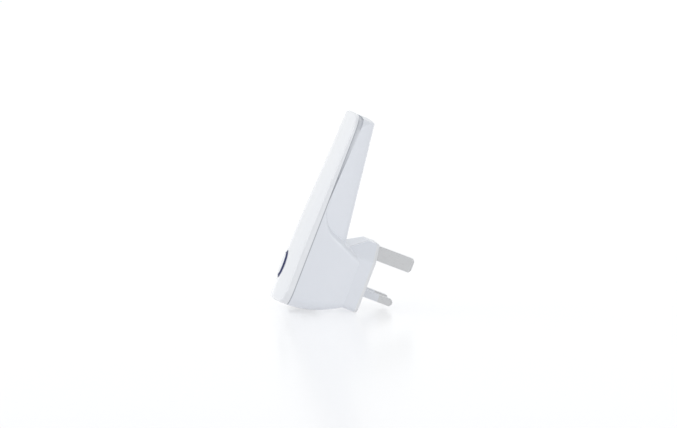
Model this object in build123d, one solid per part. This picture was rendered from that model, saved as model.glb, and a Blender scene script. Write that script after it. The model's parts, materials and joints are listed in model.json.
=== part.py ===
from build123d import *
import math
import os

# Plug-in wifi range extender: a wedge-shaped case that hangs from a wall socket by its own plug.
# Millimetres. +Z is up, the face looks along -Y. The origin is on the rear face of the plug plate,
# level with the middle between the earth pin and the two smaller pins.

# ---- Case ----
case_width = 65.8
case_height = 110.0
seam_to_plug_face = 37.0          # depth of the rear shell
origin_above_case_bottom = 31.8
case_corner_radius = 10.0
case_end_arch = 1.6               # how far the top and bottom edges bow outwards
shell_wall = 2.0
cover_wall = 1.8
fit_gap = 0.15                    # clearance round pieces that drop into one another

# ---- Front face ----
crown_depth = 7.3                 # crown of the face in front of the seam, level with the button
face_edge_depth = 3.0             # edge of the face in front of the seam, same level
crown_depth_at_top = 2.8
face_edge_depth_at_top = 1.1
face_bend_height = 37.0           # length above the button over which the face curves
face_edge_rounding = 1.3

# ---- Wedge behind the seam ----
wedge_side_inset = 0.4
wedge_back_depth_at_top = 9.0     # seam to back surface at the top edge
wedge_back_slope = 7.5            # degrees
wedge_side_draft = 8.0            # how much narrower the back is, each side
wedge_side_bulge = 0.9
wedge_back_rounding = 5.0
wedge_top_rounding = 2.6          # where the top turns down into the back
groove_depth = 0.8
groove_width_at_top = 2.7
groove_start_height = 27.0        # above the origin, where the groove runs out

# ---- Snap tabs of the cover ----
snap_setback = 1.3                # inside the rear shell's wall at the seam
snap_arm_thickness = 1.2
snap_barb = 1.0                   # how far the barb stands out from the arm
snap_barb_depth = 1.2
snap_reach = 3.6                  # past the seam
snap_half_width = 4.0

# ---- Lower body and plug block ----
block_half_width = 25.0
block_top_half_width = 13.0
block_top_height = 16.3
block_shoulder_height = 6.6
block_bottom = -22.0
block_corner_radius = 3.0
ramp_start_depth = 6.7            # plug face to where the block's top starts to fall forwards
ramp_drop_per_mm = 0.68
body_end_depth = 8.5              # plug face to where the lower body meets the block
underside_rise = 8.3
underside_curve = 2.1             # power of the underside's rise towards the block
shoulder_slope = 0.41
flare_height = 8.6                # extra height of the shoulder at the seam
flare_length = 10.0
shoulder_rounding_at_seam = 1.5
shoulder_rounding = 4.0

# ---- Plug, to BS 1363 ----
pin_row_spacing = 22.2            # earth pin to the line of the other two
pin_half_pitch = 11.1
earth_pin_size = (4.0, 22.73, 8.0)
side_pin_size = (6.35, 17.7, 4.0)
sleeve_length = 9.5
sleeve_wall = 0.5
pin_tip_bevel = 1.35
plate_thickness = 1.6
plate_lip_depth = 5.0
pin_root_depth = 6.0              # how far a pin reaches inside the plate
pin_socket_depth = 6.5
plate_screw_seat = 1.3            # plug face to the seat of each screw head
pin_socket_wall = 2.0
solder_tail = (2.0, 1.0)

# ---- Button and ring ----
button_below_origin = 12.5
ring_radius = 8.0
ring_inner_radius = 6.2
ring_rise = 0.65                  # how far the ring slopes up towards the button
button_gap = 0.08
button_dome = 0.3
button_flange = 0.5
button_travel = 0.4
guide_flange_radius = 9.2
stem_radius = 1.6

# ---- Main board ----
board_thickness = 1.6
board_behind_seam = 2.8           # seam to the front of the main board
board_half_width = 26.0
board_top_clearance = 7.0
board_bottom_clearance = 4.5
screw_radius = 1.0
screw_head_radius = 1.9
screw_head_height = 1.2
boss_radius = 3.0
screw_half_spacing = 20.0
upper_screw_below_top = 16.2
lower_screw_height = 22.0

# ---- Network socket and reset ----
jack_size = (16.0, 13.6, 18.0)
jack_centre_x = -9.0
jack_recess = 4.6                 # case bottom to the mouth of the socket
jack_mouth_size = (11.8, 8.4, 13.0)
reset_x = 13.0
reset_hole_radius = 1.1
reset_travel = 0.3

# ---- Processor, heat spreader and antennas ----
can_half = 13.0
can_height = 2.6
can_wall = 0.3
chip_half = 7.0
chip_thickness = 1.2
spreader_base = 0.9
fin_height = 1.2
fin_pitch = 3.8
fin_thickness = 0.8
antenna_standoff = 1.4
antenna_thickness = 0.4
antenna_near = 4.0
antenna_far = 21.0
antenna_half_height = 2.5
antenna_below_edge = 3.2
link_z = 1.2
link_xs = [-2.54, 0.0, 2.54]

# ---- Power board ----
power_board_depth = 11.4          # plug face to its rear side
power_board_thickness = 1.6
power_board_half_width = 20.0
power_board_top = 3.0
power_board_bottom = -19.5
transformer_x = 4.0
transformer_z = -6.0

seam_y = -seam_to_plug_face
bottom_z = -origin_above_case_bottom
top_z = bottom_z + case_height
button_z = -button_below_origin
earth_z = pin_row_spacing / 2
side_pin_z = -pin_row_spacing / 2
upper_screw_height = top_z - upper_screw_below_top
screw_spacing = upper_screw_height - lower_screw_height
can_centre_z = (lower_screw_height + upper_screw_height) / 2
board_front_y = seam_y + board_behind_seam
board_rear_y = board_front_y + board_thickness
crown_y = seam_y - crown_depth
power_rear_y = -power_board_depth
power_front_y = power_rear_y - power_board_thickness


def block(x0, x1, y0, y1, z0, z1):
    """Rectangular block between two corners."""
    centre = Pos((x0 + x1) / 2, (y0 + y1) / 2, (z0 + z1) / 2)
    return centre * Box(x1 - x0, y1 - y0, z1 - z0)


def rod(x, z, radius, y0, y1):
    """Round bar along the depth of the case."""
    return Pos(x, (y0 + y1) / 2, z) * Rot(X=90) * Cylinder(radius, y1 - y0)


def tube(x, z, outer, inner, y0, y1):
    return rod(x, z, outer, y0, y1) - rod(x, z, inner, y0 - 1, y1 + 1)


def prism(outline, y0, y1):
    """Outline drawn as seen from the front, given a depth."""
    return extrude(Plane.XZ.offset(-y1) * outline, y1 - y0)


def rounded(face, corner_radii):
    """Rounds each named corner of a flat outline."""
    for corner, radius in corner_radii:
        vertex = face.vertices().sort_by_distance(corner)[0]
        face = fillet(vertex, radius)
    return face


def case_outline(inset):
    """The case from the front: straight sides, bowed ends, round corners."""
    half = case_width / 2 - inset
    low = bottom_z + case_end_arch + inset
    high = top_z - case_end_arch - inset
    right = Line((half, low), (half, high))
    top = ThreePointArc((half, high), (0, top_z - inset), (-half, high))
    left = Line((-half, high), (-half, low))
    bottom = ThreePointArc((-half, low), (0, bottom_z + inset), (half, low))
    radius = case_corner_radius - inset
    corners = [((x, z), radius) for x in (half, -half) for z in (low, high)]
    return rounded(make_face([right, top, left, bottom]), corners)


def face_depth(z, depth, depth_at_top):
    """Depth of a line of the face in front of the seam: curved round the button, then straight."""
    straight = top_z - button_z - face_bend_height
    slope = (depth - depth_at_top) / (straight + face_bend_height / 2)
    above = z - button_z
    if above > face_bend_height:
        return depth - slope * (above - face_bend_height / 2)
    return depth - slope * above * above / (2 * face_bend_height)


def face_section(z, inset):
    """Level slice of the case in front of the seam, bowed from side to side."""
    half = case_width / 2 + 2
    crown = seam_y - face_depth(z, crown_depth, crown_depth_at_top) + inset
    edge = seam_y - face_depth(z, face_edge_depth, face_edge_depth_at_top) + inset
    back = seam_y + 2 * cover_wall
    bow = ThreePointArc((-half, edge), (0, crown), (half, edge))
    sides = Polyline((half, edge), (half, back), (-half, back), (-half, edge))
    return Pos(0, 0, z) * make_face([bow, sides])


def face_block(inset):
    """Solid whose front is the bowed face, or that face moved back by inset."""
    span = top_z - button_z
    heights = [bottom_z - 3, button_z, button_z + face_bend_height / 2, button_z + face_bend_height,
               button_z + 0.7 * span, top_z + 3]
    return loft([face_section(z, inset) for z in heights])


def cover_shape():
    """Front cover before it is hollowed: the bowed face cut to the case's outline."""
    solid = prism(case_outline(0), crown_y - 3, seam_y) & face_block(0)
    front_edges = [edge for edge in solid.edges() if edge.bounding_box().max.Y < seam_y - 0.2]
    return fillet(front_edges, face_edge_rounding)


def wedge_back_y(z):
    """Back surface of the wedge, which leans forward towards the top."""
    return seam_y + wedge_back_depth_at_top + (top_z - z) * math.tan(math.radians(wedge_back_slope))


def wedge_section(z, inset):
    """Level slice of the wedge: bulged sides and round back corners."""
    half = case_width / 2 - wedge_side_inset - inset
    back_half = half - wedge_side_draft
    back = wedge_back_y(z) - inset
    middle_x = (half + back_half) / 2 + wedge_side_bulge
    middle_y = (seam_y + back) / 2
    right = ThreePointArc((half, seam_y), (middle_x, middle_y), (back_half, back))
    rear = Line((back_half, back), (-back_half, back))
    left = ThreePointArc((-back_half, back), (-middle_x, middle_y), (-half, seam_y))
    front = Line((-half, seam_y), (half, seam_y))
    radius = wedge_back_rounding - inset
    corners = [((x, back), radius) for x in (back_half, -back_half)]
    return Pos(0, 0, z) * rounded(make_face([right, rear, left, front]), corners)


def wedge(inset):
    """Upper part of the rear shell, or its hollow when inset by the wall."""
    tall = loft([wedge_section(z, inset) for z in (0, top_z + 2)], ruled=True)
    return tall & prism(case_outline(wedge_side_inset + inset), seam_y, 0)


def wedge_side_profile():
    """The wedge from the side, with its top turned down into the back. Cuts the outside to shape."""
    high = top_z - wedge_side_inset
    corner = (wedge_back_y(high), high)
    side = Polyline((seam_y - 1, -1), (seam_y - 1, high), corner, (wedge_back_y(-1), -1), close=True)
    profile = rounded(make_face(side), [(corner, wedge_top_rounding)])
    return extrude(Plane.YZ * profile, case_width, both=True)


def groove():
    """Shallow recess round the wedge beside the seam, widest at the top."""
    ring = prism(case_outline(-2), seam_y, seam_y + groove_width_at_top + 1)
    ring -= prism(case_outline(wedge_side_inset + groove_depth), seam_y - 1, 0)
    reach = groove_width_at_top * 1.05
    profile = Polyline((seam_y, groove_start_height), (seam_y + reach, top_z + 4),
                       (seam_y - 1, top_z + 4), (seam_y - 1, groove_start_height), close=True)
    band = extrude(Plane.YZ * make_face(profile), case_width, both=True)
    return ring & band


def body_section(y, inset):
    """Slice of the lower body, seen from the front, at one depth."""
    run = seam_to_plug_face - body_end_depth
    way = (y - seam_y) / run
    half = block_half_width + (case_width / 2 - block_half_width) * (1 - max(way, 0) ** 1.6) - inset
    low = bottom_z + case_end_arch + underside_rise * max(way, 0) ** underside_curve + inset
    arch = case_end_arch * (1 - 0.9 * min(way, 1))
    near_seam = max(0, 1 - (y - seam_y) / flare_length)
    behind = -body_end_depth - y
    shoulder = block_shoulder_height + shoulder_slope * behind + flare_height * near_seam ** 3 - inset
    corner = case_corner_radius + (block_corner_radius - case_corner_radius) * min(way, 1) - inset
    ridge = shoulder_rounding + (shoulder_rounding_at_seam - shoulder_rounding) * near_seam
    right = Line((half, low), (half, shoulder))
    top = Line((half, shoulder), (-half, shoulder))
    left = Line((-half, shoulder), (-half, low))
    bottom = ThreePointArc((-half, low), (0, low - arch), (half, low))
    corners = [((x, low), corner) for x in (half, -half)]
    corners += [((x, shoulder), max(ridge - inset, 0.5)) for x in (half, -half)]
    return Plane.XZ.offset(-y) * rounded(make_face([right, top, left, bottom]), corners)


def lower_body(inset):
    """Deep part of the case, from the seam back into the plug block."""
    run = seam_to_plug_face - body_end_depth
    shares = (0, 0.09, 0.2, 0.35, 0.6, 0.85, 1.06)
    return loft([body_section(seam_y + share * run, inset) for share in shares])


def block_outline(inset):
    """Plug block from the back: straight sides, slanted shoulders, narrow top."""
    half = block_half_width - inset
    narrow = block_top_half_width - inset / 2
    high = block_top_height - inset
    low = block_bottom + inset
    shoulder = block_shoulder_height - inset / 2
    points = [(half, low), (half, shoulder), (narrow, high), (-narrow, high), (-half, shoulder), (-half, low)]
    lower = [((x, low), block_corner_radius) for x in (half, -half)]
    upper = [(point, 1.5) for point in points[1:5]]
    return rounded(make_face(Polyline(*points, close=True)), lower + upper)


def plug_block(inset, y1):
    """Block behind the lower body that meets the wall, with its top falling towards the wedge."""
    solid = prism(block_outline(inset), seam_y / 2, y1)
    ramp_length = 14.0
    top = block_top_height - inset
    start = -ramp_start_depth
    profile = Polyline((start, top), (start, top + 9), (start - ramp_length, top + 9),
                       (start - ramp_length, top - ramp_length * ramp_drop_per_mm), close=True)
    ramp = extrude(Plane.YZ * make_face(profile), case_width, both=True)
    return solid - ramp


def boss(x, z, y0, y1):
    """Screw post standing on the inside of a shell."""
    return rod(x, z, boss_radius, y0, y1)


def plate_post(x, z, grow):
    """Square post that takes a screw of the plug plate."""
    return block(x - 2.6 - grow, x + 2.6 + grow, -14.0 - grow, -plate_thickness, z - 3 - grow, z + 3 + grow)


def screw(x, z, y_seat, reach):
    """Pan-head screw: head in front of y_seat, or behind it when reach is negative."""
    side = 1 if reach > 0 else -1
    shank = sorted((y_seat, y_seat + reach))
    head = sorted((y_seat, y_seat - side * screw_head_height))
    whole = rod(x, z, screw_radius, *shank) + rod(x, z, screw_head_radius, *head)
    slot = sorted((head[0] if side > 0 else head[1] - 0.5, head[0] + 0.5 if side > 0 else head[1]))
    return whole - block(x - 0.3, x + 0.3, slot[0], slot[1], z - 1.3, z + 1.3)


board_screw_places = [(x, z) for x in (-screw_half_spacing, screw_half_spacing)
                      for z in (lower_screw_height, upper_screw_height)]
power_screw_places = [(-16.5, 0.4), (16.5, 0.4)]
plate_screw_places = [(-20.5, -8.0), (20.5, -8.0)]


def snap_places():
    """Centre and direction of each snap tab between the cover and the rear shell."""
    half = case_width / 2
    return [(side * half, z, side) for side in (-1, 1) for z in (button_z + 6, 0.55 * top_z)]


def snap_tab(x, z, side, grow):
    """Hook on the cover that catches in a pocket of the rear shell."""
    outer = x - side * (wedge_side_inset + shell_wall + snap_setback)
    inner = outer - side * snap_arm_thickness
    rows = sorted((inner, outer))
    low = z - snap_half_width - grow
    high = z + snap_half_width + grow
    y1 = seam_y + snap_reach + grow
    arm = block(rows[0] - grow, rows[1] + grow, seam_y - crown_depth, y1, low, high)
    tip = sorted((outer - side * 0.2, outer + side * snap_barb))
    barb = block(tip[0] - grow, tip[1] + grow, seam_y + snap_reach - snap_barb_depth - grow, y1, low, high)
    return arm + barb


def front_cover():
    outer = cover_shape()
    hollow = prism(case_outline(cover_wall), crown_y - 3, seam_y + 1) & face_block(cover_wall)
    cover = outer - hollow
    room = outer + block(-case_width, case_width, seam_y, 0, bottom_z, top_z)
    for x, z, side in snap_places():
        cover += snap_tab(x, z, side, 0) & room
    cover -= rod(0, button_z, ring_radius + 0.05, crown_y - 3, seam_y)
    return cover


def light_guide():
    """Clear tube from the LEDs to the face. Its front is a band that slopes up to the button."""
    rear = board_front_y - 1.2
    band = [(ring_inner_radius, crown_y - ring_rise), (ring_radius, crown_y + 0.18),
            (ring_radius, crown_y + cover_wall + 0.5), (guide_flange_radius, crown_y + cover_wall + 0.5),
            (guide_flange_radius, crown_y + cover_wall + 1.5), (ring_radius, crown_y + cover_wall + 1.5),
            (ring_radius, rear), (ring_inner_radius + 0.9, rear),
            (ring_inner_radius + 0.9, crown_y + 2.6), (ring_inner_radius, crown_y + 2.6)]
    turned = make_face(Polyline(*band, close=True))
    return Pos(0, 0, button_z) * revolve(turned, Axis.Y)


switch_top_y = board_front_y - 3.6
plunger_tip_y = switch_top_y - 0.9


def range_button():
    """Domed cap with a skirt, a retaining flange and a stem that meets the switch."""
    radius = ring_inner_radius - button_gap
    edge_y = crown_y - ring_rise
    profile = make_face([
        ThreePointArc((0, edge_y - button_dome), (radius / 2, edge_y - button_dome * 0.75), (radius, edge_y)),
        Polyline((radius, edge_y), (radius, crown_y + 2.6 + 0.7), (radius + button_flange, crown_y + 2.6 + 0.7),
                 (radius + button_flange, crown_y + 2.6 + 1.4), (radius - 1.2, crown_y + 2.6 + 1.4),
                 (radius - 1.2, edge_y + 1.2), (stem_radius, edge_y + 1.2), (stem_radius, plunger_tip_y),
                 (0, plunger_tip_y), (0, edge_y - button_dome))])
    return Pos(0, 0, button_z) * revolve(profile, Axis.Y)


def button_switch():
    half = 3.0
    body = block(-half, half, switch_top_y, board_front_y, button_z - half, button_z + half)
    body -= rod(0, button_z, 1.75 + 0.05, switch_top_y - 1, board_front_y - 0.6)
    return body


def button_plunger():
    return rod(0, button_z, 1.75, plunger_tip_y, board_front_y - 0.6 - button_travel - 0.2)


def jack_box(grow, below=0):
    width, depth, height = jack_size
    low = bottom_z + jack_recess
    return block(jack_centre_x - width / 2 - grow, jack_centre_x + width / 2 + grow, board_rear_y - grow,
                 board_rear_y + depth + grow, low - below, low + height + grow)


def jack_mouth():
    """Room for the plug of a network cable."""
    width, depth, height = jack_mouth_size
    low = bottom_z + jack_recess
    middle = board_rear_y + jack_size[1] / 2
    return block(jack_centre_x - width / 2, jack_centre_x + width / 2, middle - depth / 2,
                 middle + depth / 2, low - 1, low + height)


def lan_jack():
    shell = jack_box(0) - jack_mouth()
    middle = board_rear_y + jack_size[1] / 2
    latch_depth = jack_mouth_size[1] / 2
    low = bottom_z + jack_recess
    latch = block(jack_centre_x - 3.1, jack_centre_x + 3.1, middle + latch_depth - 0.1,
                  middle + latch_depth + 1.5, low - 1, low + 8)
    return shell - latch


def lan_contacts():
    """Eight sprung contact wires on the board side of the socket's mouth."""
    y0 = board_rear_y + jack_size[1] / 2 - jack_mouth_size[1] / 2
    low = bottom_z + jack_recess
    wires = [block(jack_centre_x + (i - 3.5) * 1.02 - 0.2, jack_centre_x + (i - 3.5) * 1.02 + 0.2,
                   y0, y0 + 0.5, low + 2.5, low + jack_mouth_size[2]) for i in range(8)]
    return Compound(children=wires)


reset_y = board_rear_y + 1.6
reset_body_low = bottom_z + 5.4


def reset_switch():
    body = block(reset_x - 2.2, reset_x + 2.2, board_rear_y, board_rear_y + 3.2, reset_body_low, reset_body_low + 3.4)
    hole = Pos(reset_x, reset_y, reset_body_low) * Cylinder(0.75 + 0.05, 3.6)
    return body - hole


def reset_plunger():
    low = reset_body_low - 1.2
    high = reset_body_low + 1.8 - reset_travel - 0.1
    return Pos(reset_x, reset_y, (low + high) / 2) * Cylinder(0.75, high - low)


vent_places = [reset_x + 4.0 + 2.6 * i for i in range(4)]


def rear_shell():
    outer = (wedge(0) & wedge_side_profile()) - groove() + lower_body(0) + plug_block(0, -plate_thickness)
    hollow = wedge(shell_wall) + lower_body(shell_wall) + plug_block(shell_wall, 0)
    shell = outer - hollow
    for x, z in board_screw_places:
        post = boss(x, z, board_rear_y, wedge_back_y(z)) & outer
        shell += post
        shell -= rod(x, z, screw_radius + 0.03, board_rear_y - 1, board_rear_y + 6)
    for x, z in plate_screw_places:
        shell += plate_post(x, z, 0) & outer
        shell -= rod(x, z, screw_radius + 0.03, -9, 0)
    shell -= jack_box(fit_gap, 2 * jack_recess)
    earth_half = earth_pin_size[0] / 2 + fit_gap
    earth_top = earth_z + earth_pin_size[2] / 2 + fit_gap
    shell -= block(-earth_half, earth_half, -pin_socket_depth - fit_gap, 0, 0, earth_top)
    for x, z, side in snap_places():
        shell -= snap_tab(x, z, side, fit_gap)
    shell -= Pos(reset_x, reset_y, bottom_z + 1) * Cylinder(reset_hole_radius, 8)
    for x in vent_places:
        shell -= block(x - 0.6, x + 0.6, seam_y + 8, seam_y + 18, bottom_z - 1, bottom_z + 6)
    return shell


def plug_plate():
    """Plate against the wall. A lip centres it in the block and a socket grips each pin."""
    plate = prism(block_outline(0), -plate_thickness, 0)
    rear = plate.faces().sort_by(Axis.Y)[-1]
    plate = fillet(rear.edges(), 0.7)
    gap = shell_wall + fit_gap
    lip = prism(block_outline(gap), -plate_lip_depth, -plate_thickness)
    lip -= prism(block_outline(gap + 1.4), -plate_lip_depth - 1, -plate_thickness)
    for x, z in plate_screw_places:
        lip -= block(x - 3, x + 3, -plate_lip_depth - 1, -plate_thickness, z - 3.4, z + 3.4)
    plate += lip
    for centre_x, centre_z, size in pin_places():
        half_x = size[0] / 2 + pin_socket_wall
        half_z = size[2] / 2 + pin_socket_wall
        plate += block(centre_x - half_x, centre_x + half_x, -pin_socket_depth, -plate_thickness,
                       centre_z - half_z, min(centre_z + half_z, block_top_height - gap - 0.2))
    for x, z in power_screw_places:
        plate += rod(x, z, 2.4, power_rear_y, -plate_thickness)
        plate -= rod(x, z, screw_radius, power_rear_y - 1, power_rear_y + 6)
    for centre_x, centre_z, size in pin_places():
        plate -= pin_shank(centre_x, centre_z, size)
        plate -= block(centre_x - solder_tail[0] / 2, centre_x + solder_tail[0] / 2, -12, -pin_root_depth,
                       centre_z - solder_tail[1] / 2, centre_z + solder_tail[1] / 2)
    for x, z in plate_screw_places:
        plate -= rod(x, z, screw_radius + 0.1, -plate_thickness - 1, 1)
        plate -= rod(x, z, screw_head_radius + 0.15, -plate_screw_seat, 1)
    return plate


def pin_places():
    return [(0.0, earth_z, earth_pin_size), (-pin_half_pitch, side_pin_z, side_pin_size),
            (pin_half_pitch, side_pin_z, side_pin_size)]


def pin_shank(x, z, size):
    return block(x - size[0] / 2, x + size[0] / 2, -pin_root_depth, 0.5, z - size[2] / 2, z + size[2] / 2)


def pin(x, z, size, with_tail):
    """Solid brass pin with a bevelled tip, and a tail that reaches the power board."""
    width, length, height = size
    bar = block(x - width / 2, x + width / 2, -pin_root_depth, length, z - height / 2, z + height / 2)
    tip = bar.faces().sort_by(Axis.Y)[-1]
    bar = chamfer(tip.edges(), pin_tip_bevel)
    if with_tail:
        bar += block(x - solder_tail[0] / 2, x + solder_tail[0] / 2, power_front_y - 0.8, -pin_root_depth + 0.5,
                     z - solder_tail[1] / 2, z + solder_tail[1] / 2)
        neck = block(x - width / 2 - 1, x + width / 2 + 1, 0, sleeve_length, z - height / 2 - 1, z + height / 2 + 1)
        core = block(x - width / 2 + sleeve_wall, x + width / 2 - sleeve_wall, -1, sleeve_length + 1,
                     z - height / 2 + sleeve_wall, z + height / 2 - sleeve_wall)
        bar -= neck - core
    return bar


def pin_sleeve(x, z, size):
    width, _, height = size
    sleeve = block(x - width / 2, x + width / 2, 0, sleeve_length, z - height / 2, z + height / 2)
    return sleeve - block(x - width / 2 + sleeve_wall, x + width / 2 - sleeve_wall, -1, sleeve_length + 1,
                          z - height / 2 + sleeve_wall, z + height / 2 - sleeve_wall)


def main_board():
    board = block(-board_half_width, board_half_width, board_front_y, board_rear_y,
                  bottom_z + board_bottom_clearance, top_z - board_top_clearance)
    for x, z in board_screw_places:
        board -= rod(x, z, screw_radius + 0.15, board_front_y - 1, board_rear_y + 1)
    return board


def on_main_board(x, z, width, height, thickness):
    """Block on the rear side of the main board."""
    return block(x - width / 2, x + width / 2, board_rear_y, board_rear_y + thickness, z - height / 2, z + height / 2)


def shield_can():
    can = on_main_board(0, can_centre_z, 2 * can_half, 2 * can_half, can_height)
    return can - on_main_board(0, can_centre_z, 2 * (can_half - can_wall), 2 * (can_half - can_wall),
                               can_height - can_wall)


def thermal_pad():
    y0 = board_rear_y + chip_thickness
    return block(-chip_half, chip_half, y0, board_rear_y + can_height - can_wall,
                 can_centre_z - chip_half, can_centre_z + chip_half)


def heat_spreader():
    """Finned aluminium plate on the shield can."""
    half = can_half - 1.5
    y0 = board_rear_y + can_height
    y1 = y0 + spreader_base
    plate = block(-half, half, y0, y1, can_centre_z - half, can_centre_z + half)
    for i in range(-3, 4):
        x = i * fin_pitch
        plate += block(x - fin_thickness / 2, x + fin_thickness / 2, y1, y1 + fin_height,
                       can_centre_z - half, can_centre_z + half)
    return plate


def antenna(side):
    """Stamped strip held off the board by two legs."""
    y0 = board_rear_y + antenna_standoff
    z = top_z - board_top_clearance - antenna_below_edge
    low = z - antenna_half_height
    xs = sorted((side * antenna_near, side * antenna_far))
    strip = block(xs[0], xs[1], y0, y0 + antenna_thickness, low, z + antenna_half_height)
    for leg_x in (side * (antenna_near + 0.6), side * (antenna_near + 5.6)):
        strip += block(leg_x - 0.5, leg_x + 0.5, board_rear_y, y0, low, low + antenna_thickness)
    return strip


def ring_led(index):
    angle = math.radians(60 * index + 30)
    radius = (ring_radius + ring_inner_radius + 0.9) / 2
    x = radius * math.cos(angle)
    z = button_z + radius * math.sin(angle)
    return block(x - 0.8, x + 0.8, board_front_y - 0.7, board_front_y, z - 0.4, z + 0.4)


def lan_transformer():
    z = bottom_z + jack_recess + jack_size[2] + 5.0
    body = on_main_board(jack_centre_x, z, 12.7, 6.4, 2.8)
    for i in range(8):
        x = jack_centre_x + (i - 3.5) * 1.5
        body += on_main_board(x, z, 0.5, 8.4, 0.3)
    return body


def power_board():
    board = block(-power_board_half_width, power_board_half_width, power_front_y, power_rear_y,
                  power_board_bottom, power_board_top)
    for x, z in power_screw_places:
        board -= rod(x, z, screw_radius + 0.15, power_front_y - 1, power_rear_y + 1)
    for x in (-pin_half_pitch, pin_half_pitch):
        board -= block(x - solder_tail[0] / 2 - 0.1, x + solder_tail[0] / 2 + 0.1, power_front_y - 1,
                       power_rear_y + 1, side_pin_z - solder_tail[1] / 2 - 0.1, side_pin_z + solder_tail[1] / 2 + 0.1)
    for x, z in plate_screw_places:
        board -= plate_post(x, z, 2 * fit_gap)
    return board


def on_power_board(x, z, width, height, thickness):
    """Block on the front side of the power board."""
    return block(x - width / 2, x + width / 2, power_front_y - thickness, power_front_y, z - height / 2, z + height / 2)


def transformer_bobbin():
    y0 = power_front_y
    flange = [block(transformer_x - 4.6, transformer_x + 4.6, y0 - d - 0.8, y0 - d, transformer_z - 5, transformer_z + 5)
              for d in (1.2, 9.0)]
    barrel = rod(transformer_x, transformer_z, 2.9, y0 - 9.8, y0 - 1.2)
    feet = block(transformer_x - 4.6, transformer_x + 4.6, y0 - 1.2, y0, transformer_z - 5, transformer_z - 3.6)
    return barrel + flange[0] + flange[1] + feet - rod(transformer_x, transformer_z, 2.05, y0 - 11, y0 + 1)


def transformer_core():
    y0 = power_front_y
    frame = block(transformer_x - 7.0, transformer_x + 7.0, y0 - 12.0, y0 - 0.2, transformer_z - 3.0, transformer_z + 3.0)
    frame -= block(transformer_x - 5.0, transformer_x + 5.0, y0 - 10.0, y0 - 1.0, transformer_z - 4.0, transformer_z + 4.0)
    return frame + rod(transformer_x, transformer_z, 2.0, y0 - 10.5, y0 - 0.8)


def transformer_winding():
    return tube(transformer_x, transformer_z, 4.2, 2.95, power_front_y - 8.9, power_front_y - 2.1)


def insulating_sheet():
    y0 = board_rear_y + 5.2
    sheet = block(-21.0, 21.0, y0, y0 + 0.3, bottom_z + jack_recess + jack_size[2] + 1.0, 8.0)
    return sheet - block(-3.4, 3.4, y0 - 1, y0 + 1, link_z - 1.6, link_z + 1.6)


def link_header():
    return block(-5.2, 5.2, power_front_y - 2.5, power_front_y, link_z - 1.2, link_z + 1.2) - link_holes()


def link_holes():
    holes = [block(x - 0.35, x + 0.35, power_front_y - 4, power_front_y + 1, link_z - 0.35, link_z + 0.35)
             for x in link_xs]
    return Compound(children=holes)


def link_pins():
    pins = [block(x - 0.32, x + 0.32, board_rear_y, power_front_y, link_z - 0.32, link_z + 0.32) for x in link_xs]
    return Compound(children=pins)


def rating_label():
    """Blank label in the middle of the wedge's back surface."""
    z = 0.62 * top_z
    label = Box(34, 0.15, 22)
    label = fillet(label.edges().filter_by(Axis.Y), 1.5)
    return Pos(0, wedge_back_y(z), z) * Rot(X=wedge_back_slope) * Pos(0, 0.075, 0) * label


def group(solids):
    return Compound(children=list(solids))


def parts():
    live, neutral = pin_half_pitch, -pin_half_pitch
    pieces = {
        "front_cover": front_cover(),
        "ring_light_guide": light_guide(),
        "range_button": range_button(),
        "button_switch": button_switch(),
        "button_plunger": button_plunger(),
        "rear_shell": rear_shell(),
        "plug_plate": plug_plate(),
        "earth_pin": pin(0.0, earth_z, earth_pin_size, False),
        "live_pin": pin(live, side_pin_z, side_pin_size, True),
        "neutral_pin": pin(neutral, side_pin_z, side_pin_size, True),
        "live_pin_sleeve": pin_sleeve(live, side_pin_z, side_pin_size),
        "neutral_pin_sleeve": pin_sleeve(neutral, side_pin_z, side_pin_size),
        "main_board": main_board(),
        "wifi_processor": on_main_board(0, can_centre_z, 2 * chip_half, 2 * chip_half, chip_thickness),
        "thermal_pad": thermal_pad(),
        "shield_can": shield_can(),
        "heat_spreader": heat_spreader(),
        "memory_chip": on_main_board(19.0, can_centre_z, 8.0, 13.0, 1.0),
        "flash_chip": on_main_board(-19.0, can_centre_z + 0.15 * screw_spacing, 5.2, 8.0, 1.6),
        "crystal": on_main_board(-19.0, can_centre_z - 0.2 * screw_spacing, 3.2, 5.0, 0.9),
        "left_antenna": antenna(1),
        "right_antenna": antenna(-1),
        "lan_jack": lan_jack(),
        "lan_contacts": lan_contacts(),
        "lan_transformer": lan_transformer(),
        "reset_switch": reset_switch(),
        "reset_plunger": reset_plunger(),
        "power_board": power_board(),
        "transformer_core": transformer_core(),
        "transformer_bobbin": transformer_bobbin(),
        "transformer_winding": transformer_winding(),
        "bulk_capacitor_1": rod(-14.5, -4.8, 3.15, power_front_y - 11, power_front_y),
        "bulk_capacitor_2": rod(-6.6, -4.8, 3.15, power_front_y - 11, power_front_y),
        "output_capacitor": rod(15.2, -5.0, 2.5, power_front_y - 9, power_front_y),
        "bridge_rectifier": on_power_board(-15.5, -15.0, 6.0, 5.0, 2.4),
        "switching_controller": on_power_board(-3.0, -14.5, 5.0, 4.0, 1.6),
        "fusible_resistor": Pos(4.0, power_front_y - 1.8, -16.0) * Rot(Y=90) * Cylinder(1.8, 9.0),
        "optocoupler": on_power_board(16.0, -14.5, 4.6, 6.5, 3.4),
        "insulating_sheet": insulating_sheet(),
        "link_header": link_header(),
        "link_pins": link_pins(),
        "rating_label": rating_label(),
        "board_screws": group(screw(x, z, board_front_y, board_thickness + 4.5) for x, z in board_screw_places),
        "power_board_screws": group(screw(x, z, power_front_y, power_board_thickness + 4)
                                    for x, z in power_screw_places),
        "plug_plate_screws": group(screw(x, z, -plate_screw_seat, -6.0) for x, z in plate_screw_places),
    }
    for index in range(6):
        pieces[f"ring_led_{index + 1}"] = ring_led(index)
    return pieces


os.makedirs("parts", exist_ok=True)
for name, shape in parts().items():
    export_step(shape, f"parts/{name}.step")
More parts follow.
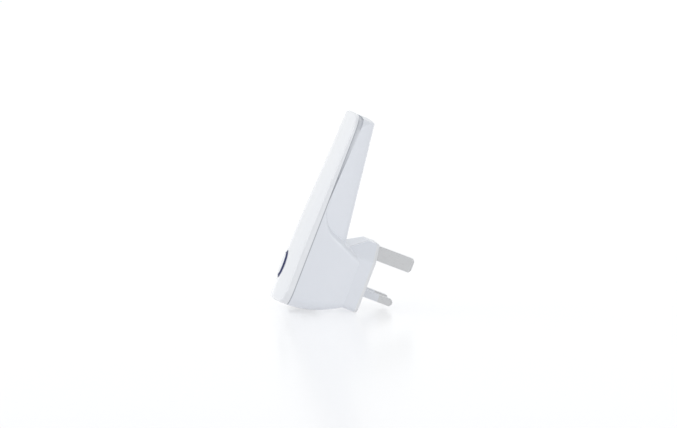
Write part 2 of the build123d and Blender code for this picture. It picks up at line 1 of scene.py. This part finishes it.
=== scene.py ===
# %% [markdown]
# # A plug-in wifi range extender, dressed for its portrait
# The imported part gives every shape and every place. This script gives each surface its material, redraws the
# earth pin with eased edges, and sets up a floor, lights and a camera.
# Lengths are in metres. +Z is up, the face looks along -Y and the plug's pins point along +Y.

# %% Load the frame
import json
import math
import bmesh
import bpy
from mathutils import Matrix, Vector


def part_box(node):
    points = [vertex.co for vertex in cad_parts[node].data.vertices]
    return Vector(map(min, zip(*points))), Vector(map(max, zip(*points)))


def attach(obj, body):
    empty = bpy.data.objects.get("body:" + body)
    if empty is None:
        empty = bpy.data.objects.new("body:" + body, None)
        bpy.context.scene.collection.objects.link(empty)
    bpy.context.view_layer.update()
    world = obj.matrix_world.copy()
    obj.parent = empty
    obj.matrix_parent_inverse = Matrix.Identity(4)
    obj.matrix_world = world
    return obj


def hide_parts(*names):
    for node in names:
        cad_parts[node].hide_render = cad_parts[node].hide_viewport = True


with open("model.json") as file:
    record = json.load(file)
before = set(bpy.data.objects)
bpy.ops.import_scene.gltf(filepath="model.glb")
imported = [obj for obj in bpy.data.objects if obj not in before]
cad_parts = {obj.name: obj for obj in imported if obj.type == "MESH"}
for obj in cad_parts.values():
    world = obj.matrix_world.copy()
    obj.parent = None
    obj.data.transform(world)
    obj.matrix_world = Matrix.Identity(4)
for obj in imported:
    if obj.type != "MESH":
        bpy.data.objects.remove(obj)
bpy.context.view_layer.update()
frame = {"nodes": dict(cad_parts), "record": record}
nodes = frame["nodes"]

# %% [markdown]
# ## Writing shaders as arithmetic
# A Value wraps one socket. Adding, multiplying or comparing Values makes the Math nodes for it, so a pattern
# reads like a formula. A Shader is one material's node tree, and its node() method makes any other node.

# %% Values and shaders
class Value:
    def __init__(self, shader, socket):
        self.shader = shader
        self.socket = socket

    def math(self, operation, a, b=0.0, clamp=False):
        settings = {"operation": operation, "use_clamp": clamp}
        return self.shader.node("ShaderNodeMath", settings, {0: a, 1: b})

    def __add__(self, other):
        return self.math("ADD", self, other)

    def __radd__(self, other):
        return self.math("ADD", other, self)

    def __sub__(self, other):
        return self.math("SUBTRACT", self, other)

    def __rsub__(self, other):
        return self.math("SUBTRACT", other, self)

    def __mul__(self, other):
        return self.math("MULTIPLY", self, other)

    def __truediv__(self, other):
        return self.math("DIVIDE", self, other)

    def above(self, limit):
        return self.math("GREATER_THAN", self, limit)

    def below(self, limit):
        return self.math("LESS_THAN", self, limit)

    def fract(self):
        return self.math("FRACT", self)

    def size(self):
        return self.math("ABSOLUTE", self)

    def limited(self):
        return self.math("ADD", self, 0.0, clamp=True)

    def ramp(self, start, end):
        """0 at start, 1 at end, smooth in between."""
        settings = {"interpolation_type": "SMOOTHSTEP"}
        inputs = {"Value": self, "From Min": start, "From Max": end}
        return self.shader.node("ShaderNodeMapRange", settings, inputs)


class Shader:
    def __init__(self, name):
        self.material = bpy.data.materials.new(name)
        self.material.use_nodes = True
        self.tree = self.material.node_tree
        self.tree.nodes.clear()
        self.surface = self.tree.nodes.new("ShaderNodeBsdfPrincipled")
        output = self.tree.nodes.new("ShaderNodeOutputMaterial")
        self.tree.links.new(self.surface.outputs[0], output.inputs[0])
        self.place = self.node("ShaderNodeTexCoord", {}, {}, "Object")
        split = self.node("ShaderNodeSeparateXYZ", {}, {0: self.place}, None)
        self.x, self.y, self.z = (Value(self, split.outputs[i]) for i in range(3))

    def feed(self, socket, value):
        if isinstance(value, Value):
            self.tree.links.new(value.socket, socket)
        elif isinstance(value, tuple) and socket.type == "RGBA":
            socket.default_value = (*value[:3], 1.0)
        else:
            socket.default_value = value

    def node(self, kind, settings, inputs, output=0):
        made = self.tree.nodes.new(kind)
        for key, value in settings.items():
            setattr(made, key, value)
        for key, value in inputs.items():
            self.feed(made.inputs[key], value)
        return made if output is None else Value(self, made.outputs[output])

    def noise(self, per_metre, detail=3.0, roughness=0.5, stretch=(1.0, 1.0, 1.0)):
        """Soft noise from 0 to 1, with about per_metre blotches in a metre."""
        moved = self.node("ShaderNodeMapping", {}, {"Vector": self.place, "Scale": stretch})
        inputs = {"Vector": moved, "Scale": per_metre, "Detail": detail, "Roughness": roughness}
        return self.node("ShaderNodeTexNoise", {}, inputs)

    def cells(self, per_metre):
        """Distance to the nearest of about per_metre scattered points in a metre."""
        inputs = {"Vector": self.place, "Scale": per_metre}
        return self.node("ShaderNodeTexVoronoi", {"feature": "F1"}, inputs, "Distance")

    def mix(self, a, b, factor):
        """Colour a where factor is 0 and colour b where it is 1."""
        return self.node("ShaderNodeMix", {"data_type": "RGBA"}, {0: factor, 6: a, 7: b}, 2)

    def bump(self, height, depth, strength=1.0):
        """height from 0 to 1 raised by depth metres."""
        return self.node("ShaderNodeBump", {}, {"Height": height, "Distance": depth, "Strength": strength})

    def paint(self, **looks):
        for key, value in looks.items():
            self.feed(self.surface.inputs[key.replace("_", " ")], value)
        return self.material


print("shader helpers ready")

# %% [markdown]
# ## White plastic
# Polished ABS: nearly white, a hard clear gloss, the faintest ripple from the mould and a slight unevenness in
# how sharply it reflects. Three settings of one recipe serve the cover, the button and the rear shell.

# %% White plastics
def polished(name, colour, shade, rough, ripple):
    s = Shader(name)
    cloud = s.noise(45.0, 2.0)
    fine = s.noise(900.0, 3.0)
    grain = s.noise(6000.0, 2.0)
    return s, s.mix(colour, shade, cloud * 0.6), rough + fine * 0.05, s.bump(fine * 0.8 + grain * 0.2, ripple)


seam_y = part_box("rear_shell")[0].y
seam_shadow_width = 0.0003


def painted_seam_shadow(s, colour):
    """Painted shade: a grey line along the seam stands in for the shadow in a fine gap where the cover meets
    the rear shell.
    """
    beside = (s.y - seam_y).size()
    return s.mix((0.50, 0.52, 0.56), colour, beside.ramp(seam_shadow_width * 0.6, seam_shadow_width * 1.4))


def cover_plastic():
    s, colour, rough, normal = polished("cover_plastic", (0.915, 0.93, 0.965), (0.895, 0.912, 0.95), 0.10, 4e-6)
    # Painted shade: a grey line along the seam stands in for the shadow in the gap.
    colour = painted_seam_shadow(s, colour)
    return s.paint(Base_Color=colour, Roughness=rough, Normal=normal, IOR=1.54, Coat_Weight=0.35,
                   Coat_Roughness=0.05, Subsurface_Weight=0.04, Subsurface_Radius=(0.002, 0.002, 0.002))


def button_plastic():
    s, colour, rough, normal = polished("button_plastic", (0.91, 0.925, 0.96), (0.885, 0.90, 0.94), 0.16, 3e-6)
    return s.paint(Base_Color=colour, Roughness=rough, Normal=normal, IOR=1.52,
                   Coat_Weight=0.2, Coat_Roughness=0.1)


groove_start = 0.027
groove_width = 0.0029
top_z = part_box("rear_shell")[1].z


def shell_plastic():
    """The rear shell's white is cooler. The recess beside the seam gets a satin roughness and a painted shade,
    a grey mixed into its colour.
    """
    s, colour, rough, normal = polished("shell_plastic", (0.86, 0.885, 0.94), (0.84, 0.868, 0.925), 0.20, 5e-6)
    reach = (s.z - groove_start) * (groove_width / (top_z - groove_start))
    # Painted shade: this mask darkens the recess beside the seam towards grey, and the same mask makes it
    # satin.
    groove_shade_and_satin = (reach - (s.y - seam_y)).ramp(-1e-4, 1e-4) * s.z.ramp(groove_start, groove_start + 0.004)
    satin = s.noise(4000.0, 4.0)
    # The grey in the recess is painted shade, and the line along the seam is a painted seam shadow.
    colour = painted_seam_shadow(s, s.mix(colour, (0.70, 0.72, 0.76), groove_shade_and_satin * 0.75))
    rough = rough + groove_shade_and_satin * (0.18 + satin * 0.1)
    return s.paint(Base_Color=colour, Roughness=rough, Normal=normal, IOR=1.52, Coat_Weight=0.15,
                   Coat_Roughness=0.12)


def plate_plastic():
    """The plug plate is spark-eroded: a matt, sandy finish."""
    s = Shader("plate_plastic")
    sand = s.noise(5200.0, 5.0, 0.7)
    cloud = s.noise(60.0)
    colour = s.mix((0.87, 0.88, 0.90), (0.83, 0.84, 0.865), cloud)
    return s.paint(Base_Color=colour, Roughness=0.38 + sand * 0.18, Normal=s.bump(sand, 2.5e-5, 0.6), IOR=1.5)


def small_white():
    s = Shader("small_white")
    mottle = s.noise(1500.0, 4.0)
    colour = s.mix((0.82, 0.82, 0.80), (0.74, 0.74, 0.72), mottle)
    return s.paint(Base_Color=colour, Roughness=0.45 + mottle * 0.15, Normal=s.bump(mottle, 1e-5, 0.4))


print("white plastics ready")

# %% [markdown]
# ## The ring, the pins and their sleeves
# The ring is deep blue polycarbonate. The pins are nickel over brass with fine brushing along their length,
# and the sleeves are pale moulded nylon.

# %% Ring, pin and sleeve materials
def ring_plastic():
    s = Shader("ring_plastic")
    swirl = s.noise(700.0, 3.0)
    depth = s.noise(120.0, 2.0)
    colour = s.mix((0.006, 0.014, 0.085), (0.012, 0.024, 0.13), depth)
    return s.paint(Base_Color=colour, Roughness=0.30 + swirl * 0.10, Normal=s.bump(swirl, 4e-6), IOR=1.25)


def plated_brass():
    """Nickel with fine scratches along the pin and a few dull spots."""
    s = Shader("plated_brass")
    brush = s.noise(9000.0, 4.0, 0.6, (1.0, 0.03, 1.0))
    wear = s.noise(500.0, 5.0, 0.65)
    tone = s.mix((0.82, 0.825, 0.83), (0.64, 0.645, 0.655), brush)
    tone = s.mix(tone, (0.42, 0.41, 0.40), wear.ramp(0.58, 0.74) * 0.5)
    return s.paint(Base_Color=tone, Metallic=1.0, Roughness=0.26 + brush * 0.16 + wear * 0.08,
                   Normal=s.bump(brush, 1.2e-5, 0.5))


def sleeve_nylon():
    s = Shader("sleeve_nylon")
    mottle = s.noise(2600.0, 4.0, 0.6)
    colour = s.mix((0.84, 0.86, 0.90), (0.76, 0.785, 0.83), mottle)
    return s.paint(Base_Color=colour, Roughness=0.36 + mottle * 0.14,
                   Normal=s.bump(mottle, 8e-6, 0.5), IOR=1.53)


print("ring and plug materials ready")

# %% [markdown]
# ## Inside the case
# Boards show copper tracks under green solder mask, chips have a sanded moulded top, cans are tinned and
# faintly mottled, ferrite is speckled and the shrunk sleeves of the capacitors shine.

# %% Inner materials
def laminate():
    s = Shader("laminate")
    lanes = ((s.x * 420.0 + s.noise(60.0, 0.0) * 3.0).fract() - 0.5).size().below(0.16)
    rows = ((s.z * 300.0 + s.noise(45.0, 0.0) * 2.0).fract() - 0.5).size().below(0.10)
    zone = s.noise(70.0, 0.0).above(0.5)
    tracks = (lanes * zone + rows * (1.0 - zone)).limited()
    vias = s.cells(330.0).below(0.12)
    colour = s.mix((0.010, 0.10, 0.035), (0.02, 0.20, 0.07), tracks)
    colour = s.mix(colour, (0.60, 0.42, 0.16), vias)
    return s.paint(Base_Color=colour, Roughness=0.26 + vias * 0.1, Metallic=vias * 0.8,
                   Normal=s.bump(tracks + vias, 3e-5), Coat_Weight=0.4, Coat_Roughness=0.15)


def moulded(name, colour, shade, rough, per_metre=3500.0, depth=1.2e-5):
    s = Shader(name)
    sand = s.noise(per_metre, 4.0, 0.65)
    cloud = s.noise(120.0, 2.0)
    return s.paint(Base_Color=s.mix(colour, shade, cloud), Roughness=rough + sand * 0.15,
                   Normal=s.bump(sand, depth, 0.6))


def metal(name, colour, shade, rough, stretch=(1.0, 1.0, 1.0), per_metre=1500.0):
    s = Shader(name)
    grain = s.noise(per_metre, 5.0, 0.6, stretch)
    bloom = s.noise(200.0, 3.0)
    return s.paint(Base_Color=s.mix(colour, shade, bloom), Metallic=1.0, Roughness=rough + grain * 0.2,
                   Normal=s.bump(grain, 1e-5, 0.5))


def ferrite():
    s = Shader("ferrite")
    specks = s.cells(2600.0).ramp(0.12, 0.3)
    grain = s.noise(3200.0, 4.0)
    colour = s.mix((0.13, 0.13, 0.135), (0.055, 0.055, 0.06), specks)
    return s.paint(Base_Color=colour, Roughness=0.55 + grain * 0.2, Normal=s.bump(grain, 3e-5))


def winding_tape():
    """Turns of tape round the winding, each a shallow step along the depth of the case."""
    s = Shader("winding_tape")
    turn = (s.y * 1100.0).fract()
    crinkle = s.noise(1800.0, 3.0, 0.5, (1.0, 4.0, 1.0))
    colour = s.mix((0.80, 0.56, 0.06), (0.66, 0.44, 0.04), turn * 0.7 + crinkle * 0.3)
    return s.paint(Base_Color=colour, Roughness=0.25 + crinkle * 0.2,
                   Normal=s.bump(turn * 0.7 + crinkle * 0.3, 6e-5))


def shrink_sleeve():
    """A dark sleeve with one pale stripe that marks the negative side."""
    s = Shader("shrink_sleeve")
    wave = s.noise(400.0, 2.0)
    stripe = s.noise(160.0, 0.0).ramp(0.60, 0.63)
    colour = s.mix((0.025, 0.035, 0.075), (0.42, 0.45, 0.50), stripe)
    return s.paint(Base_Color=colour, Roughness=0.22 + wave * 0.12, Normal=s.bump(wave, 2e-5), Coat_Weight=0.3)


def film():
    s = Shader("film")
    fibre = s.noise(900.0, 5.0, 0.7, (1.0, 1.0, 0.2))
    colour = s.mix((0.86, 0.86, 0.80), (0.78, 0.78, 0.70), fibre)
    return s.paint(Base_Color=colour, Roughness=0.42 + fibre * 0.15, Normal=s.bump(fibre, 1e-5, 0.4))


def label_foil():
    """A blank label: silvery, with a printed hairline border and two empty panels."""
    s = Shader("label_foil")
    low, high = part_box("rating_label")
    middle = (low + high) / 2
    across = (s.x - middle.x).size() / ((high.x - low.x) / 2)
    up = (s.z - middle.z).size() / ((high.z - low.z) / 2)
    edge = across.math("MAXIMUM", across, up)
    border = edge.above(0.88) * edge.below(0.91)
    panel = up.below(0.55) * (across - 0.42).size().below(0.30)
    grain = s.noise(2500.0, 4.0)
    colour = s.mix((0.80, 0.81, 0.83), (0.72, 0.73, 0.75), grain)
    colour = s.mix(colour, (0.32, 0.34, 0.37), border)
    colour = s.mix(colour, (0.88, 0.885, 0.89), panel)
    return s.paint(Base_Color=colour, Roughness=0.35 + grain * 0.12, Metallic=(1.0 - panel) * 0.25,
                   Normal=s.bump(grain, 4e-6, 0.5))


def led_lens():
    s = Shader("led_lens")
    haze = s.noise(1800.0, 2.0)
    colour = s.mix((0.72, 0.83, 0.95), (0.60, 0.72, 0.88), haze)
    return s.paint(Base_Color=colour, Roughness=0.15 + haze * 0.1, Coat_Weight=0.4, Normal=s.bump(haze, 4e-6))


def rubber_pad():
    s = Shader("rubber_pad")
    pores = s.cells(2200.0).ramp(0.1, 0.5)
    colour = s.mix((0.34, 0.43, 0.54), (0.44, 0.54, 0.65), pores)
    return s.paint(Base_Color=colour, Roughness=0.65 + pores * 0.15, Normal=s.bump(pores, 3e-5))


print("inner materials ready")

# %% Every slot's material
white_cover, white_button, white_shell = cover_plastic(), button_plastic(), shell_plastic()
white_plate = plate_plastic()
slot_materials = {
    "gloss_white": white_cover,
    "navy_guide": ring_plastic(),
    "black_plastic": moulded("black_plastic", (0.030, 0.030, 0.034), (0.045, 0.045, 0.05), 0.42),
    "white_plastic": small_white(),
    "plated_brass": plated_brass(),
    "grey_sleeve": sleeve_nylon(),
    "green_laminate": laminate(),
    "thermal_rubber": rubber_pad(),
    "tinned_steel": metal("tinned_steel", (0.70, 0.70, 0.68), (0.60, 0.60, 0.58), 0.22),
    "bare_aluminium": metal("bare_aluminium", (0.78, 0.79, 0.80), (0.70, 0.71, 0.73), 0.28,
                            (1.0, 1.0, 0.05), 6000.0),
    "gold_contact": metal("gold_contact", (0.85, 0.63, 0.26), (0.76, 0.54, 0.20), 0.18),
    "dark_ferrite": ferrite(),
    "yellow_tape": winding_tape(),
    "capacitor_sleeve": shrink_sleeve(),
    "resistor_body": moulded("resistor_body", (0.22, 0.42, 0.36), (0.16, 0.33, 0.28), 0.34, 1200.0, 3e-5),
    "insulating_film": film(),
    "blank_label": label_foil(),
    "zinc_steel": metal("zinc_steel", (0.62, 0.64, 0.68), (0.52, 0.54, 0.58), 0.24, (1.0, 1.0, 1.0), 3500.0),
    "led_lens": led_lens(),
}
own_materials = {"rear_shell": white_shell, "plug_plate": white_plate, "range_button": white_button}
for part in frame["record"]["subparts"]:
    node = nodes[part["node"]]
    material = own_materials.get(part["node"], slot_materials[part["material_slot"]])
    node.data.materials.clear()
    node.data.materials.append(material)

# %% [markdown]
# ## An eased earth pin
# A stamped pin never has knife edges. The earth pin is redrawn inside the CAD pin's own box, with a bevelled
# tip and rounded edges and corners.

# %% Piece helpers
pin_tip_bevel = 0.00135
pin_edge_ease = 0.00022
same_place = 1e-7
ridge_angle = math.radians(20.0)


def piece(name, shape, material, body):
    """A finished piece at the origin from a bmesh, with crisp facets."""
    bmesh.ops.remove_doubles(shape, verts=shape.verts, dist=same_place)
    bmesh.ops.recalc_face_normals(shape, faces=shape.faces)
    mesh = bpy.data.meshes.new(name)
    shape.to_mesh(mesh)
    shape.free()
    made = bpy.data.objects.new(name, mesh)
    bpy.context.scene.collection.objects.link(made)
    mesh.materials.append(material)
    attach(made, body)
    return made


def slab(shape, low, high):
    """Adds a box between two corners."""
    middle = (Vector(low) + Vector(high)) / 2
    span = Vector(high) - Vector(low)
    matrix = Matrix.Translation(middle) @ Matrix.Diagonal((*span, 1.0))
    bmesh.ops.create_cube(shape, size=1.0, matrix=matrix)


def ease(shape, edges, amount, segments):
    bmesh.ops.bevel(shape, geom=list(edges), offset=amount, segments=segments, profile=0.5, affect="EDGES",
                    material=-1, clamp_overlap=True)


def pin_piece(name, node):
    """A bar with a bevelled tip and every long edge eased."""
    low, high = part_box(node)
    shape = bmesh.new()
    slab(shape, low, high)
    far = [edge for edge in shape.edges if all(abs(v.co.y - high.y) < same_place for v in edge.verts)]
    ease(shape, far, pin_tip_bevel, 1)
    ridge = [edge for edge in shape.edges if edge.calc_face_angle(0.0) > ridge_angle]
    ease(shape, ridge, pin_edge_ease, 3)
    return piece(name, shape, slot_materials["plated_brass"], "case")


print("piece helpers ready")

# %% Earth pin
earth = pin_piece("earth_pin_eased", "earth_pin")
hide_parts("earth_pin")
print("earth pin triangles", sum(len(p.vertices) - 2 for p in earth.data.polygons))

# %% [markdown]
# ## Floor, lights and camera
# The extender leans on its underside and the lower edge of its plug block, so the floor is tilted in its own
# frame. The camera stands off to the side, a little in front and a little above, with a long lens.

# %% Lean and floor
floor_reach = 6.0
lean = math.radians(21.2)
up = Vector((0.0, -math.sin(lean), math.cos(lean)))
shell_points = [v.co for name in ("front_cover", "rear_shell", "plug_plate") for v in nodes[name].data.vertices]
floor_height = min(p.dot(up) for p in shell_points)
print("floor is", round(-floor_height * 1000, 2), "mm below the origin along its own normal")


def floor_material():
    s = Shader("studio_floor")
    cloud = s.noise(3.0, 2.0)
    fine = s.noise(300.0, 3.0)
    colour = s.mix((0.52, 0.52, 0.525), (0.51, 0.51, 0.515), cloud)
    return s.paint(Base_Color=colour, Roughness=0.16 + fine * 0.04, Normal=s.bump(fine, 1e-6, 0.2), IOR=1.25,
                   Emission_Color=(1.0, 1.0, 1.0), Emission_Strength=0.39)


shape = bmesh.new()
along = Vector((1.0, 0.0, 0.0))
back = up.cross(along)
turn = Matrix((along, back, up)).transposed().to_4x4()
laid = Matrix.Translation(up * floor_height) @ turn
bmesh.ops.create_grid(shape, x_segments=2, y_segments=2, size=floor_reach, matrix=laid)
floor_mesh = bpy.data.meshes.new("studio_floor")
shape.to_mesh(floor_mesh)
shape.free()
floor = bpy.data.objects.new("studio_floor", floor_mesh)
floor_mesh.materials.append(floor_material())
bpy.context.scene.collection.objects.link(floor)

# %% Camera
yaw = math.radians(7.0)
rise = math.radians(2.5)
camera_distance = 2.050
towards = Vector((math.cos(rise) * math.cos(yaw), -math.cos(rise) * math.sin(yaw), math.sin(rise)))
right = up.cross(towards).normalized()
over = towards.cross(right)
target = right * -0.01533 + over * 0.03090
camera_data = bpy.data.cameras.new("camera")
camera_data.lens = 200.0
camera_data.sensor_width = 36.0
camera_data.clip_end = 50.0
camera = bpy.data.objects.new("camera", camera_data)
bpy.context.scene.collection.objects.link(camera)
place = Matrix((right, over, towards)).transposed().to_4x4()
place.translation = target + towards * camera_distance
camera.matrix_world = place
bpy.context.scene.camera = camera
print("camera", [round(v, 3) for v in place.translation])

# %% Lights
def softbox(name, direction, distance, size, power, tint=(1.0, 1.0, 1.0)):
    """An area light aimed at the object from a direction given in the leaning room's axes: right, back, up."""
    data = bpy.data.lights.new(name, "AREA")
    data.shape = "RECTANGLE"
    data.size, data.size_y = size
    data.energy = power
    data.color = tint
    lamp = bpy.data.objects.new(name, data)
    bpy.context.scene.collection.objects.link(lamp)
    towards_lamp = (right * direction[0] - towards * direction[1] + up * direction[2]).normalized()
    lamp.matrix_world = towards_lamp.to_track_quat("Z", "Y").to_matrix().to_4x4()
    lamp.location = target + towards_lamp * distance
    return lamp


softbox("key_left", (-1.0, 0.1, 0.45), 1.2, (1.2, 1.0), 3.2)
softbox("key_front", (-0.6, -1.0, 0.5), 1.5, (0.7, 1.2), 1.6)
softbox("top", (0.0, 0.1, 1.0), 1.2, (1.6, 1.6), 0.7)
softbox("right_front", (1.0, -0.6, 0.3), 1.4, (0.8, 0.8), 4.2)

# %% [markdown]
# ## A white room
# Camera rays meet a plain white backdrop. All other rays meet a softer room, brighter behind the object and
# dimmer to its right, so the polished faces show a gradient.

# %% Room
world = bpy.data.worlds.new("studio")
world.use_nodes = True
bpy.context.scene.world = world
sky = world.node_tree
sky.nodes.clear()


def sky_node(kind, settings, inputs):
    made = sky.nodes.new(kind)
    for key, value in settings.items():
        setattr(made, key, value)
    for key, value in inputs.items():
        if isinstance(value, bpy.types.NodeSocket):
            sky.links.new(value, made.inputs[key])
        else:
            made.inputs[key].default_value = value
    return made


ray = sky_node("ShaderNodeTexCoord", {}, {}).outputs["Generated"]


def towards_side(direction, start, end, low, high):
    """low for rays that leave away from a direction, high for those that follow it."""
    turned = sky_node("ShaderNodeVectorMath", {"operation": "DOT_PRODUCT"}, {0: ray, 1: direction})
    limits = {"From Min": start, "From Max": end, "To Min": low, "To Max": high}
    inputs = {"Value": turned.outputs["Value"], **limits}
    return sky_node("ShaderNodeMapRange", {"interpolation_type": "SMOOTHSTEP"}, inputs).outputs[0]


behind = towards_side(-towards, 0.2, 0.9, 0.62, 0.94)
flag = towards_side(right, 0.45, 0.95, 1.0, 0.35)
room = sky_node("ShaderNodeMath", {"operation": "MULTIPLY"}, {0: behind, 1: flag}).outputs[0]
fill = sky_node("ShaderNodeBackground", {}, {0: (0.97, 0.985, 1.0, 1.0), 1: room}).outputs[0]
backdrop = sky_node("ShaderNodeBackground", {}, {0: (1.0, 1.0, 1.0, 1.0), 1: 1.05}).outputs[0]
seen = sky_node("ShaderNodeLightPath", {}, {}).outputs["Is Camera Ray"]
either = sky_node("ShaderNodeMixShader", {}, {0: seen, 1: fill, 2: backdrop}).outputs[0]
sky_node("ShaderNodeOutputWorld", {}, {0: either})
bpy.context.scene.view_settings.view_transform = "Standard"
print("room has", len(sky.nodes), "shader nodes")
